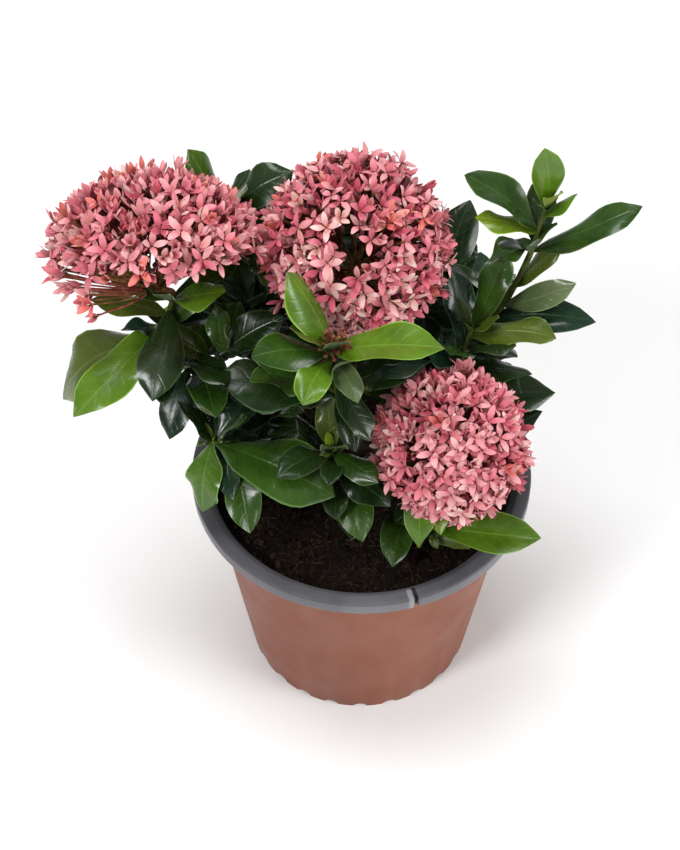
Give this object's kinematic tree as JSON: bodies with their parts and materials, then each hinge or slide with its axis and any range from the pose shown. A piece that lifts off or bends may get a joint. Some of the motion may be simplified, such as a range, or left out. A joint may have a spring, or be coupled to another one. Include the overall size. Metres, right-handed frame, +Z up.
{
  "type": "potted flowering shrub",
  "caption": "Small evergreen shrub with glossy leaves and round heads of pink flowers, in a tapered plastic nursery pot filled with peat.",
  "frame": {"origin": "centre of the pot's flat underside", "axes": "+Z up; -Y towards the plant's front, the side with the lowest flower head; +X to the right seen from the front"},
  "size_m": [0.2627, 0.1882, 0.3167],
  "materials": {
    "pot": "satin",
    "soil": "matte",
    "bark": "matte",
    "leaves": "satin",
    "blossom": "matte"
  },
  "bodies": {
    "root": {"pot": "pot", "soil": "soil", "stem": "bark", "bough_left": "bark", "bough_low_left": "bark", "bough_front": "bark", "bough_low_front": "bark", "bough_low_right": "bark", "bough_low_front_right": "bark", "bough_middle": "bark", "bough_upper_right": "bark", "bough_right": "bark", "bough_back_left": "bark", "bough_back": "bark", "bough_back_right": "bark", "bough_low_back_left": "bark", "bough_low_back_right": "bark", "foliage_left": "leaves", "foliage_low_left": "leaves", "foliage_front": "leaves", "foliage_low_front": "leaves", "foliage_low_right": "leaves", "foliage_low_front_right": "leaves", "foliage_middle": "leaves", "foliage_upper_right": "leaves", "foliage_right": "leaves", "foliage_back_left": "leaves", "foliage_back": "leaves", "foliage_back_right": "leaves", "foliage_low_back_left": "leaves", "foliage_low_back_right": "leaves", "bloom_left": "blossom", "bloom_middle": "blossom", "bloom_low_right": "blossom"}
  },
  "joints": []
}
